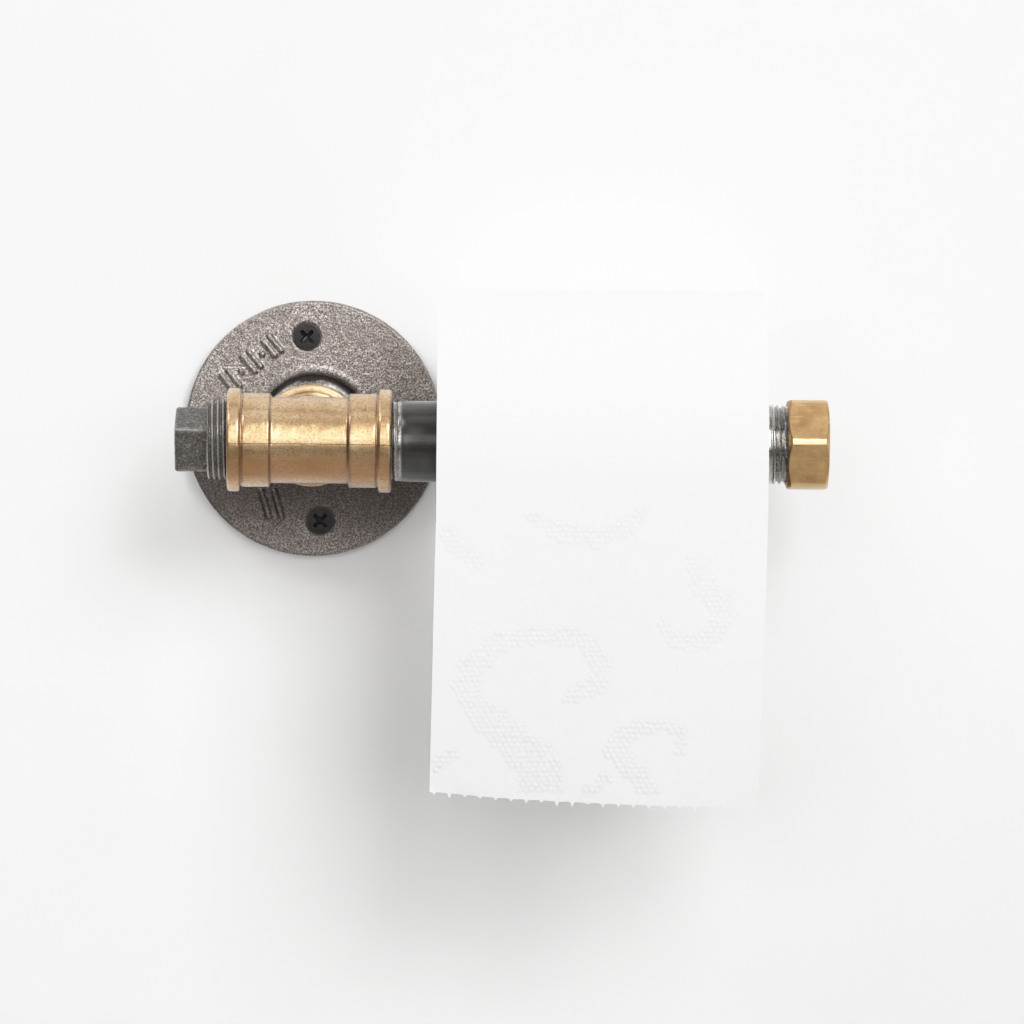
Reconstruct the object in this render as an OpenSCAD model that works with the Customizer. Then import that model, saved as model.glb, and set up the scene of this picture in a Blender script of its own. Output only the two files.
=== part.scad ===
// Toilet paper holder made of threaded pipe fittings, with a roll on it.
// The wall is the plane y = 0 and the holder stands out from it towards -Y.
// +X runs along the roll pipe from the tee to the cap, and +Z is up.
// The origin is the centre of the wall flange's back face.

/* [Roll] */
// Diameter of the full paper roll
roll_d = 113.4; // [90:0.1:140]
// Width of the roll
roll_w = 107.3; // [90:0.1:130]
// Inside diameter of the cardboard core
core_id = 40; // [37:0.5:50]
// Wall of the cardboard core
core_wall = 0.9; // [0.5:0.1:2]
// Free pipe between the tee and the roll
gap_at_tee = 14.8; // [2:0.1:30]
// Free pipe between the roll and the cap
gap_at_cap = 8.6; // [2:0.1:30]
// Room between the back of the roll and the wall
gap_at_wall = 6.8; // [6.8:0.1:30]

/* [Hanging sheet] */
// Thickness of the paper as it hangs, with its embossing
sheet_t = 0.5; // [0.3:0.1:1]
// Length of the last sheet, from perforation to torn edge
sheet_l = 100; // [70:1:120]
// Length of paper between the roll and the last perforation
lead_l = 9.5; // [6:0.5:30]
// Radius of the curl that the sheet keeps from the roll
curl_r = 400; // [200:10:1000]
// How much narrower the sheet is than the roll
sheet_trim = 0.4; // [0:0.1:2]

/* [Pipe and thread] */
// Outside diameter of the roll pipe and of the nipple
pipe_od = 26.9; // [26:0.1:32.3]
// Wall of the roll pipe and of the nipple
pipe_wall = 2.65; // [1.5:0.05:4]
// How far the thread's crests lie below the skin of the pipe
thread_step = 0.23; // [0.1:0.01:0.6]
// Length of the thread at each end of a pipe
thread_l = 16; // [12.5:0.1:18]
// Least plain stretch between the nipple's two threads
nipple_plain = 4; // [2:0.5:10]
// Length of pipe screwed into the tee's run
run_grip = 12.6; // [8:0.05:12.8]
// Length of nipple screwed into the hub and into the tee's branch
branch_grip = 9.85; // [8:0.05:12]
// How far each socket's bore goes on past the end of the pipe in the run
bore_run_out = 1; // [0.5:0.1:1.2]

/* [Wall flange] */
// Diameter of the flange plate
flange_d = 87; // [76:0.1:110]
// Thickness of the flange plate
flange_t = 5.5; // [4:0.1:6.6]
// Height of the hub's face above the wall
hub_h = 18; // [15:0.5:24]
// Wall of the hub around its thread
hub_wall = 3.9; // [3:0.1:6]
// How much wider the hub is where it meets the plate
hub_draft = 1.4; // [0.5:0.1:3]
// Radius of the fillet between the hub and the plate
hub_fillet = 3.6; // [1:0.1:5]
// Distance from the flange's rim to the centre of a screw
screw_edge = 12.1; // [8:0.1:16]
// Number of screws
screw_count = 4; // [3:1:6]
// Turn of the screw pattern about the hub
screw_turn = 4.6; // [0:0.1:90]

/* [Wall screws] */
// Diameter of a screw's head
head_d = 9.6; // [8:0.1:12]
// Diameter of a screw over its thread
shank_d = 4.8; // [3.5:0.1:6]
// How much thinner the plain neck under the head is than the thread
neck_less = 0.4; // [0.2:0.1:1]
// Length of a screw
screw_l = 40; // [25:1:60]
// Length of each arm of the cross recess, tip to tip
recess_l = 5.2; // [3:0.1:6]
// Width of the cross recess
recess_w = 1.1; // [0.8:0.1:2]
// Depth of the cross recess
recess_t = 2; // [1:0.1:2.4]

/* [Tee] */
// Half the length of the run, and the length of the branch from the run's axis
tee_half = 27.1; // [25:0.05:36]
// Wall of the sockets around their threads
socket_wall = 2.3; // [1.5:0.1:4]
// Length of the thinner stretch of each socket
socket_l = 9.4; // [8.5:0.1:12]
// Width of the bead at each mouth
bead_w = 4.4; // [3:0.05:6]
// Height of the bead above the socket
bead_rise = 1.5; // [0.5:0.1:3]
// Wall of the middle of the body around the passage
body_wall = 3.5; // [3:0.1:5]
// How much the branch's body is thinner than the run's
branch_less = 0.4; // [0.2:0.1:2]

/* [Plug] */
// Width across the flats of the square head
plug_af = 16.1; // [12:0.1:18]
// Length of the square head
plug_head_l = 10.8; // [6:0.1:14]
// Length of the plug's thread left outside the tee
plug_out = 6.5; // [2:0.1:8]
// Length of the plug's thread inside the tee
plug_grip = 10; // [6:0.1:12]
// Turn of the square head about the run's axis
plug_turn = 24.5; // [0:0.5:90]

/* [Cap] */
// Wall of the cap between its thread and a flat
cap_wall = 1.2; // [1:0.1:4]
// Length of thread that the cap covers
cap_grip = 9.1; // [7:0.05:12]
// Thickness of the cap's closed end
cap_end = 2.8; // [2:0.1:5]
// Thickness of the sealing washer in the cap
washer_t = 1.6; // [1:0.1:3]
// Hole in the sealing washer
washer_id = 12; // [6:0.5:16]
// How far the round end faces lie inside the flats
cap_face_in = 0.4; // [0.2:0.1:1]
// Turn of the hexagon about the pipe's axis
cap_turn = 23; // [0:0.5:60]

/* [Clearances] */
// Radial room between a thread and the bore it is screwed into
thread_clear = 0.08; // [0.02:0.01:0.1]
// Radial room around a screw in its countersunk hole
screw_clear = 0.1; // [0.05:0.05:0.4]
// Gap between the top of the pipe and the core that hangs on it
hang_clear = 0.2; // [0.1:0.05:0.5]
// Gap between the core and the paper wound on it
wind_clear = 0.05; // [0.02:0.01:0.2]
// Gap between the roll and the sheet that leaves it
leave_clear = 0.3; // [0.1:0.05:0.6]
// Gap on each side of the sealing washer
washer_clear = 0.08; // [0.02:0.01:0.2]
// Radial room around the sealing washer in the cap's bore
washer_room = 0.3; // [0.1:0.05:0.6]

/* [Hidden] */
$fn = 96;
over = 1;                                       // how far a cut runs past a face
edge = 0.8;                                     // bevel on cast and turned corners
socket_slope = 1.0;                             // length of the step from body to socket
arc_steps = 6;                                  // straight stretches in a fillet
pipe_r = pipe_od / 2;
pipe_bore_r = pipe_r - pipe_wall;
thread_r = pipe_r - thread_step;
bore_r = thread_r + thread_clear;
hub_r = bore_r + hub_wall;
hub_base_r = hub_r + hub_draft;
pattern_r = flange_d / 2 - screw_edge;
neck_d = shank_d - neck_less;
head_l = (head_d - neck_d) / 2;                 // a 90 degree countersunk head
socket_r = bore_r + socket_wall;
bead_r = socket_r + bead_rise;
body_r = pipe_bore_r + body_wall;
body_half = tee_half - bead_w - socket_l - socket_slope;
socket_deep = run_grip + bore_run_out;
roll_r = roll_d / 2;
core_r = core_id / 2 + core_wall;
axis_out = roll_r + gap_at_wall;                // distance of the pipe's axis from the wall
nipple_l = axis_out - tee_half - hub_h + 2 * branch_grip;
nipple_from = hub_h - branch_grip;
nipple_thread_l = min(thread_l, (nipple_l - nipple_plain) / 2);
roll_x = tee_half + gap_at_tee;                 // left face of the roll
drop = core_id / 2 - pipe_r - hang_clear;       // the core hangs this far below the pipe's axis
pipe_x = tee_half - run_grip;
cap_x = roll_x + roll_w + gap_at_cap;           // mouth of the cap
pipe_l = cap_x + cap_grip - pipe_x;
pipe_end_x = pipe_x + pipe_l;
washer_x = pipe_end_x + washer_clear;
cap_deep = cap_grip + washer_t + 2 * washer_clear;
cap_l = cap_deep + cap_end;
cap_flat_r = bore_r + cap_wall;
cap_corner_r = cap_flat_r / cos(30);
sheet_w = roll_w - sheet_trim;
sheet_y = -axis_out - roll_r - leave_clear;     // back of the hanging paper
perforation_z = -drop - lead_l;

// Points of a quarter circle that hollows out the corner at [along, across]
function fillet(along, across, r) =
    [for (i = [0:arc_steps]) let (a = 90 * i / arc_steps)
        [along + r * (1 - cos(a)), across + r * (1 - sin(a))]];

// Turned solid along +X, each point is [distance along X, radius]
module turned_x(outline) {
    rotate([0, 90, 0])
        rotate_extrude()
            polygon([for (p = outline) [p[1], p[0]]]);
}

// Turned solid that stands out from the wall, each point is [distance from the wall, radius]
module turned_out(outline) {
    rotate([90, 0, 0])
        rotate_extrude()
            polygon([for (p = outline) [p[1], p[0]]]);
}

// Round bar along +X from one place to another
module bar_x(from, to, r) {
    translate([from, 0, 0])
        rotate([0, 90, 0])
            cylinder(h = to - from, r = r);
}

// Round bar that stands out from the wall
module bar_out(from, to, r) {
    rotate([90, 0, 0])
        translate([0, 0, from])
            cylinder(h = to - from, r = r);
}

// Moves its children to the axis of the pipe
module on_pipe_axis() {
    translate([0, -axis_out, 0])
        children();
}

// Moves its children to the axis of the roll
module on_roll_axis() {
    translate([roll_x, -axis_out, -drop])
        children();
}

// Puts its children at every screw of the flange
module at_screws() {
    for (i = [0:screw_count - 1])
        rotate([0, 90 - screw_turn - 360 * i / screw_count, 0])
            translate([pattern_r, 0, 0])
                children();
}

// Outline of a countersunk screw, widened by a clearance; its thread starts at the wall
function screw_outline(clear) = [
    [flange_t, 0],
    [flange_t, head_d / 2 + clear],
    [flange_t - head_l, neck_d / 2 + clear],
    [neck_less / 2, neck_d / 2 + clear],
    [0, shank_d / 2 + clear],
    [flange_t - screw_l + shank_d, shank_d / 2 + clear],
    [flange_t - screw_l, 0]];

module wall_flange() {
    r = flange_d / 2;
    color("dimgray")
        difference() {
            turned_out(concat(
                [[0, 0], [0, r], [flange_t - edge, r], [flange_t, r - edge]],
                fillet(flange_t, hub_base_r, hub_fillet),
                [[hub_h - edge / 2, hub_r], [hub_h, hub_r - edge / 2], [hub_h, 0]]));
            bar_out(-over, hub_h + over, bore_r);
            at_screws() {
                turned_out(screw_outline(screw_clear));
                bar_out(-over, flange_t, shank_d / 2 + screw_clear);
                bar_out(flange_t, hub_h, head_d / 2 + screw_clear);
            }
        }
}

module wall_screws() {
    color("black")
        at_screws()
            difference() {
                turned_out(screw_outline(0));
                rotate([90, 45, 0])
                    translate([0, 0, flange_t - recess_t])
                        for (turn = [0, 90])
                            rotate([0, 0, turn])
                                translate([-recess_l / 2, -recess_w / 2, 0])
                                    cube([recess_l, recess_w, recess_t + over]);
            }
}

module branch_nipple() {
    to = nipple_from + nipple_l;
    color("gray")
        difference() {
            turned_out([[nipple_from, 0],
                [nipple_from, thread_r - edge], [nipple_from + edge, thread_r],
                [nipple_from + nipple_thread_l, thread_r],
                [nipple_from + nipple_thread_l + thread_step, pipe_r],
                [to - nipple_thread_l - thread_step, pipe_r],
                [to - nipple_thread_l, thread_r],
                [to - edge, thread_r], [to, thread_r - edge], [to, 0]]);
            bar_out(nipple_from - over, to + over, pipe_bore_r);
        }
}

// One socket of the tee, from its body to its mouth
function socket_outline(r) = [
    [body_half, r],
    [body_half + socket_slope, socket_r],
    [tee_half - bead_w, socket_r],
    [tee_half - bead_w, bead_r - edge],
    [tee_half - bead_w + edge, bead_r],
    [tee_half - edge, bead_r],
    [tee_half, bead_r - edge]];

module pipe_tee() {
    run = socket_outline(body_r);
    last = len(run) - 1;
    color("goldenrod")
        on_pipe_axis()
            difference() {
                union() {
                    turned_x(concat(
                        [[-tee_half, 0]],
                        [for (i = [last:-1:0]) [-run[i][0], run[i][1]]],
                        run,
                        [[tee_half, 0]]));
                    rotate([180, 0, 0])
                        turned_out(concat(
                            [[0, 0], [0, body_r - branch_less]],
                            socket_outline(body_r - branch_less),
                            [[tee_half, 0]]));
                }
                bar_x(-tee_half - over, tee_half + over, pipe_bore_r);
                bar_x(tee_half - socket_deep, tee_half + over, bore_r);
                bar_x(-tee_half - over, socket_deep - tee_half, bore_r);
                rotate([180, 0, 0]) {
                    bar_out(0, tee_half + over, pipe_bore_r - branch_less);
                    bar_out(tee_half - socket_deep, tee_half + over, bore_r);
                }
            }
}

module end_plug() {
    head_from = -tee_half - plug_out - plug_head_l;
    corner_r = plug_af / 2 * sqrt(2) - edge / 2;
    color("darkslategray")
        on_pipe_axis() {
            turned_x([[-tee_half - plug_out, 0],
                [-tee_half - plug_out, thread_r - edge / 2],
                [-tee_half - plug_out + edge / 2, thread_r],
                [plug_grip - tee_half - edge, thread_r],
                [plug_grip - tee_half, thread_r - edge],
                [plug_grip - tee_half, 0]]);
            intersection() {
                rotate([plug_turn, 0, 0])
                    translate([head_from, -plug_af / 2, -plug_af / 2])
                        cube([plug_head_l + over, plug_af, plug_af]);
                turned_x([[head_from, 0],
                    [head_from, corner_r - 2 * edge], [head_from + edge, corner_r],
                    [-tee_half - plug_out + over, corner_r],
                    [-tee_half - plug_out + over, 0]]);
            }
        }
}

module roll_pipe() {
    color("black")
        on_pipe_axis()
            difference() {
                turned_x([[pipe_x, 0],
                    [pipe_x, thread_r - edge], [pipe_x + edge, thread_r],
                    [pipe_x + thread_l, thread_r],
                    [pipe_x + thread_l + thread_step, pipe_r],
                    [pipe_end_x - thread_l - thread_step, pipe_r],
                    [pipe_end_x - thread_l, thread_r],
                    [pipe_end_x - edge, thread_r], [pipe_end_x, thread_r - edge],
                    [pipe_end_x, 0]]);
                bar_x(pipe_x - over, pipe_end_x + over, pipe_bore_r);
            }
}

module cap_washer() {
    color("sienna")
        on_pipe_axis()
            difference() {
                bar_x(washer_x, washer_x + washer_t, bore_r - washer_room);
                bar_x(washer_x - over, washer_x + washer_t + over, washer_id / 2);
            }
}

module end_cap() {
    face_r = cap_flat_r - cap_face_in;
    clear_r = cap_corner_r + over;
    bevel = (clear_r - face_r) * tan(30);
    color("peru")
        on_pipe_axis()
            difference() {
                intersection() {
                    translate([cap_x, 0, 0])
                        rotate([cap_turn, 0, 0])
                            rotate([0, 90, 0])
                                cylinder(h = cap_l, r = cap_corner_r, $fn = 6);
                    turned_x([[cap_x, 0], [cap_x, face_r],
                        [cap_x + bevel, clear_r], [cap_x + cap_l - bevel, clear_r],
                        [cap_x + cap_l, face_r], [cap_x + cap_l, 0]]);
                }
                bar_x(cap_x - over, cap_x + cap_deep, bore_r);
            }
}

module cardboard_core() {
    color("tan")
        on_roll_axis()
            difference() {
                bar_x(0, roll_w, core_r);
                bar_x(-over, roll_w + over, core_id / 2);
            }
}

module paper_roll() {
    color("white")
        on_roll_axis()
            difference() {
                bar_x(0, roll_w, roll_r);
                bar_x(-over, roll_w + over, core_r + wind_clear);
            }
}

module sheet_lead() {
    color("whitesmoke")
        translate([roll_x + sheet_trim / 2, sheet_y - sheet_t, perforation_z])
            cube([sheet_w, sheet_t, lead_l]);
}

module last_sheet() {
    color("whitesmoke")
        translate([roll_x + sheet_trim / 2, sheet_y + curl_r, perforation_z])
            rotate([-90, 0, -90])
                rotate_extrude(angle = sheet_l / curl_r * 180 / PI)
                    translate([curl_r, 0])
                        square([sheet_t, sheet_w]);
}

wall_flange();
wall_screws();
branch_nipple();
pipe_tee();
end_plug();
roll_pipe();
cap_washer();
end_cap();
cardboard_core();
paper_roll();
sheet_lead();
last_sheet();
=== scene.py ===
"""Looks of the toilet paper holder made of pipe fittings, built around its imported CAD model.

Every length is in metres in the row frame: +X along the pipe from the tee to the cap, +Y into the
wall, +Z up. Places and outer sizes are read from the frame, details repeat the part's own values.
"""
import math

import bpy
import numpy as np
from mathutils import Matrix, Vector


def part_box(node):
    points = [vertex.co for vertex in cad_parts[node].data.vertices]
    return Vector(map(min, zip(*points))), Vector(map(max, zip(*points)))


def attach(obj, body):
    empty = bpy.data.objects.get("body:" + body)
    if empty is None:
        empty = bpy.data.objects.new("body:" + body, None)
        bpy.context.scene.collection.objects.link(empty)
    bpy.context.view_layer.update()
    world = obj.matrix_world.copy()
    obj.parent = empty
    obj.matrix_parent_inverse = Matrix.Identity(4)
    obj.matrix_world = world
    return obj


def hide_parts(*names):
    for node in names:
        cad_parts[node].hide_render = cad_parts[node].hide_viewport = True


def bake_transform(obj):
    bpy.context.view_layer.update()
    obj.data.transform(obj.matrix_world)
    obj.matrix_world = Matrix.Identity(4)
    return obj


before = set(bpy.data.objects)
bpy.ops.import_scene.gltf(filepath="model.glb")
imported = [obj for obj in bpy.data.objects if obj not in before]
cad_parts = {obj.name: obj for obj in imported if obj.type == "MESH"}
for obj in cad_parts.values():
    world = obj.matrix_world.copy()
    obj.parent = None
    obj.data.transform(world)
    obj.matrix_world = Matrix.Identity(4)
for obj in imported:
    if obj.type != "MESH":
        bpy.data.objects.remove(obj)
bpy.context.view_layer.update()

MM = 0.001
TAU = 2 * math.pi

# ---- sizes from the frame

flange_low, flange_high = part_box("wall_flange")
nipple_low, nipple_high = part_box("branch_nipple")
tee_low, tee_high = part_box("pipe_tee")
plug_low, plug_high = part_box("end_plug")
pipe_low, pipe_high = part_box("roll_pipe")
washer_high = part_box("cap_washer")[1]
cap_low, cap_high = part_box("end_cap")
core_low, core_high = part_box("cardboard_core")
roll_low, roll_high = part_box("paper_roll")
lead_low, lead_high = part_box("sheet_lead")
last_low, last_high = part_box("last_sheet")

AXIS_Y = (pipe_low.y + pipe_high.y) / 2
PIPE_R = (pipe_high.z - pipe_low.z) / 2
TEE_HALF = tee_high.x
BEAD_R = tee_high.z
FLANGE_R = flange_high.x
HUB_H = -flange_low.y
ROLL_R = (roll_high.z - roll_low.z) / 2
ROLL_Z = (roll_high.z + roll_low.z) / 2
CORE_R = (core_high.z - core_low.z) / 2

# ---- details of the fittings

PITCH = 25.4*MM / 14              # pipe thread, 14 to the inch
THREAD_R = PIPE_R - 0.23*MM
THREAD_DEEP = 1.05*MM
THREAD_L = 16*MM
THREAD_ROOM = 0.12*MM             # between the cap's thread and the pipe's
BORE_R = THREAD_R + 0.08*MM
PIPE_WALL = 2.65*MM
PASSAGE_R = PIPE_R - PIPE_WALL
FLANGE_T = 5.5*MM
HUB_R = BORE_R + 3.9*MM
HUB_BASE_R = HUB_R + 1.4*MM
HUB_FILLET = 3.6*MM
SCREW_CIRCLE_R = FLANGE_R - 12.1*MM
SCREW_TURN = math.radians(4.6)
SCREW_COUNT = 4
SCREW_HOLE_R = 2.5*MM
SCREW_HEAD_R = 4.8*MM
SCREW_NECK_R = 2.2*MM
SCREW_THREAD_R = 2.4*MM
SCREW_LEAD = 2.2*MM
SCREW_L = 40*MM
RECESS_R = 2.75*MM                # half the span of the screw's cross recess
RECESS_DEEP = 1.9*MM
SOCKET_R = BORE_R + 2.3*MM
SOCKET_FROM = TEE_HALF - 13.8*MM
BEAD_W = 4.4*MM
BODY_R = PASSAGE_R + 3.5*MM
BRANCH_LESS = 0.4*MM
SOCKET_DEEP = 13.6*MM
PLUG_FLAT_R = 8.05*MM
PLUG_CORNER_AT = math.radians(69.5)
PLUG_THREAD_SHOWN = 6.5*MM
CAP_CORNER_AT = math.radians(293)
CAP_FLAT_R = BORE_R + 1.2*MM
CAP_CONE = 1 / math.tan(math.radians(30))
SHEET_T = 0.36*MM
SHEET_BACK = 0.07*MM              # from the CAD sheet's back to the paper's
CURL_R = 400*MM
SHEET_L = 100*MM
TOOTH = 5.0*MM                    # from one torn tooth of the sheet's edge to the next
DOT_GAP = 1.95                      # between embossed dots, in mm
SWIRLS = [                          # across, down and half width along each winding band, in mm
    [(44, 64, 2), (53, 59, 3.5), (55, 53, 3.5), (50, 45, 3.2), (40, 42, 3), (29, 43, 3), (20, 46, 3.5),
     (13, 53, 4), (10.5, 60, 4), (14.6, 67, 4.5), (21.6, 73, 5.5), (28, 79, 6.5), (34, 85, 7), (37, 94, 7)],
    [(81, 80, 1.8), (81, 74, 2), (75, 72, 2), (68, 73, 3), (62, 76, 3), (60, 81, 3.5), (63.5, 85.5, 3.5),
     (68, 90, 3.5), (72, 96, 3.5)],
    [(83, 18, 2), (86, 25, 3.5), (91, 30, 4), (94, 36, 3.5), (91, 41.5, 3), (84, 45, 3), (77, 43.5, 2.8),
     (74, 39, 1.8)],
    [(57, 91, 2), (53, 94, 2), (50, 97, 1.5)],
    [(7.5, 82, 1.8), (4.2, 84, 2), (2, 87, 2)],
    [(4, 10, 3), (8, 16, 2), (14, 19, 1.5)],
    [(31, 4, 2), (40, 9, 3), (52, 11, 3), (62, 7, 2.5), (66, 2, 2)],
]


# ---- stage, light and camera values

STAGE_R = 4.0
WALL_Y = 0.0004
FLOOR_Z = -1.6
LIT_POINT = (0.06, -0.06, 0)
LIGHTS = [                          # azimuth and elevation in degrees, distance, width, height, watts
    ("key", 20, 30, 2.4, 1.1, 0.9, 30),
    ("high_left", -55, 50, 2.4, 1.1, 0.9, 18),
    ("front_left", -15, 10, 2.4, 1.1, 0.9, 12),
    ("front_right", 20, 8, 2.4, 1.1, 0.9, 13),
    ("top", 20, 72, 2.4, 1.1, 0.9, 4.5),
    ("behind", 180, 4, 2.5, 1.6, 1.2, 20),
]
WORLD_STRENGTH = 0.08
TONE_WHITE = 2.0                    # the light that the curve's right end stands for
TONE = ((0.35, 0.7), (0.45, 0.87), (0.52, 0.935), (0.62, 0.98), (0.8, 0.997))
CAMERA_AT = (0.0438, -2.0635, 0.1353)
CAMERA_TURN = (-0.67, 90 - 4.53, 0.58)  # yaw, pitch and roll in degrees
CAMERA_LENS = 212.9


# ---- helpers for numbers

def smooth(value, low=0.0, high=1.0):
    """0 below low, 1 above high and an even S between them."""
    share = np.clip((value - low) / (high - low), 0, 1)
    return share * share * (3 - 2 * share)


def soft_min(a, b, width):
    """The smaller of a and b, with the corner between them rounded over a width."""
    share = np.clip(0.5 + 0.5 * (b - a) / width, 0, 1)
    return b + (a - b) * share - width * share * (1 - share)


def soft_max(a, b, width):
    return -soft_min(-a, -b, width)


def grain(points, cell, seed):
    """Smooth noise from -1 to 1 with bumps of about one cell, the same on every run."""
    place = np.asarray(points) / cell
    corner = np.floor(place).astype(np.int64)
    part = place - corner
    part = part * part * (3 - 2 * part)
    total = 0
    for dx in (0, 1):
        for dy in (0, 1):
            for dz in (0, 1):
                x, y, z = (corner[..., 0] + dx, corner[..., 1] + dy, corner[..., 2] + dz)
                key = (x * 73856093) ^ (y * 19349663) ^ (z * 83492791) ^ (seed * 2654435761)
                key = (key ^ (key >> 13)) * 1274126177 & 0xFFFFFFFF
                key = (key ^ (key >> 16)) & 0xFFFF
                weight = (
                    (part[..., 0] if dx else 1 - part[..., 0])
                    * (part[..., 1] if dy else 1 - part[..., 1])
                    * (part[..., 2] if dz else 1 - part[..., 2])
                )
                total = total + weight * (key / 32767.5 - 1)
    return total


def ridge(along, turn, lead=PITCH, flat=0.12):
    """1 on the crest of a right-hand thread and 0 in its root."""
    share = np.abs(2 * ((along / lead - turn / TAU) % 1) - 1)
    return np.clip((share - flat) / (1 - 2 * flat), 0, 1)


# ---- helpers for meshes

def new_mesh(name, points, faces, tint=None, sharp=50):
    """A mesh object with smooth shading, and creases where faces meet at a sharp angle."""
    mesh = bpy.data.meshes.new(name)
    mesh.from_pydata(np.asarray(points).reshape(-1, 3).tolist(), [], faces)
    mesh.validate()
    mesh.shade_smooth()
    mesh.set_sharp_from_angle(angle=math.radians(sharp))
    if tint is not None:
        layer = mesh.attributes.new("tint", "FLOAT", "POINT")
        layer.data.foreach_set("value", np.asarray(tint, np.float32).ravel())
    made = bpy.data.objects.new(name, mesh)
    bpy.context.scene.collection.objects.link(made)
    return made


def outline(corners, step, loop=False, arc=6):
    """Points along a turned outline; a corner is (along, radius) or (along, radius, rounding)."""
    points = []
    count = len(corners)
    for k, corner in enumerate(corners):
        here = np.array(corner[:2])
        if len(corner) == 2:
            points.append(here)
            continue
        before = np.array(corners[k - 1][:2]) - here
        after = np.array(corners[(k + 1) % count][:2]) - here
        start = here + before / np.linalg.norm(before) * corner[2]
        end = here + after / np.linalg.norm(after) * corner[2]
        for s in np.linspace(0, 1, arc):
            points.append((1 - s) ** 2 * start + 2 * s * (1 - s) * here + s * s * end)
    dense = []
    for k, here in enumerate(points):
        if k == len(points) - 1 and not loop:
            dense.append(here)
            break
        ahead = points[(k + 1) % len(points)]
        parts = max(1, math.ceil(np.linalg.norm(ahead - here) / step))
        dense += [here + (ahead - here) * i / parts for i in range(parts)]
    return np.array(dense)


def run(start, end, count):
    """Evenly spaced rings from one (along, radius) to another."""
    return np.linspace(start, end, count)


def on_pipe_axis(along, across, up):
    """Along the pipe, with the turn measured from +Y to +Z."""
    return np.stack([along, AXIS_Y + across, up], -1)


def on_roll_axis(along, across, up):
    return np.stack([along, AXIS_Y + across, ROLL_Z + up], -1)


def out_of_wall(x=0.0, z=0.0):
    """Out of the wall along -Y, with the turn measured from +X to +Z."""
    def place(along, across, up):
        return np.stack([x + across, -along, z + up], -1)
    return place


def turned(name, rings, place, segments, shape=None, loop=False, start=0.0, sharp=50):
    """A body of rings about an axis. shape(along, radius, turn) gives the final ones and the tint."""
    rings = np.asarray(rings)
    count = len(rings)
    turn = start + np.arange(segments) * TAU / segments
    along, radius, turn = np.broadcast_arrays(rings[:, :1], rings[:, 1:2], turn[None, :])
    tint = np.zeros(along.shape)
    if shape:
        along, radius, tint = shape(along, radius, turn)
    points = place(along, radius * np.cos(turn), radius * np.sin(turn)).reshape(-1, 3)
    i, j = np.meshgrid(np.arange(count if loop else count - 1), np.arange(segments), indexing="ij")
    a, b = i * segments, (i + 1) % count * segments
    nxt = (j + 1) % segments
    faces = np.stack([a + j, a + nxt, b + nxt, b + j], -1).reshape(-1, 4).tolist()
    tint = np.broadcast_to(tint, along.shape).ravel()
    if not loop:
        zero = np.zeros(1)
        poles = [place(along[k].mean(keepdims=True), zero, zero) for k in (0, -1)]
        points = np.concatenate([points, *poles])
        tint = np.concatenate([tint, tint[:1], tint[-1:]])
        first, last = count * segments, count * segments + 1
        ring = (count - 1) * segments
        for k in range(segments):
            m = (k + 1) % segments
            faces.append([first, m, k])
            faces.append([last, ring + k, ring + m])
    made = new_mesh(name, points, faces, tint, sharp)
    if signed_volume(made) < 0:
        made.data.flip_normals()
    return made


def signed_volume(made):
    mesh = made.data
    mesh.calc_loop_triangles()
    points = np.zeros(len(mesh.vertices) * 3)
    mesh.vertices.foreach_get("co", points)
    corners = np.zeros(len(mesh.loop_triangles) * 3, np.int32)
    mesh.loop_triangles.foreach_get("vertices", corners)
    a, b, c = points.reshape(-1, 3)[corners.reshape(-1, 3)].transpose(1, 0, 2)
    return float((a * np.cross(b, c)).sum())


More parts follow.
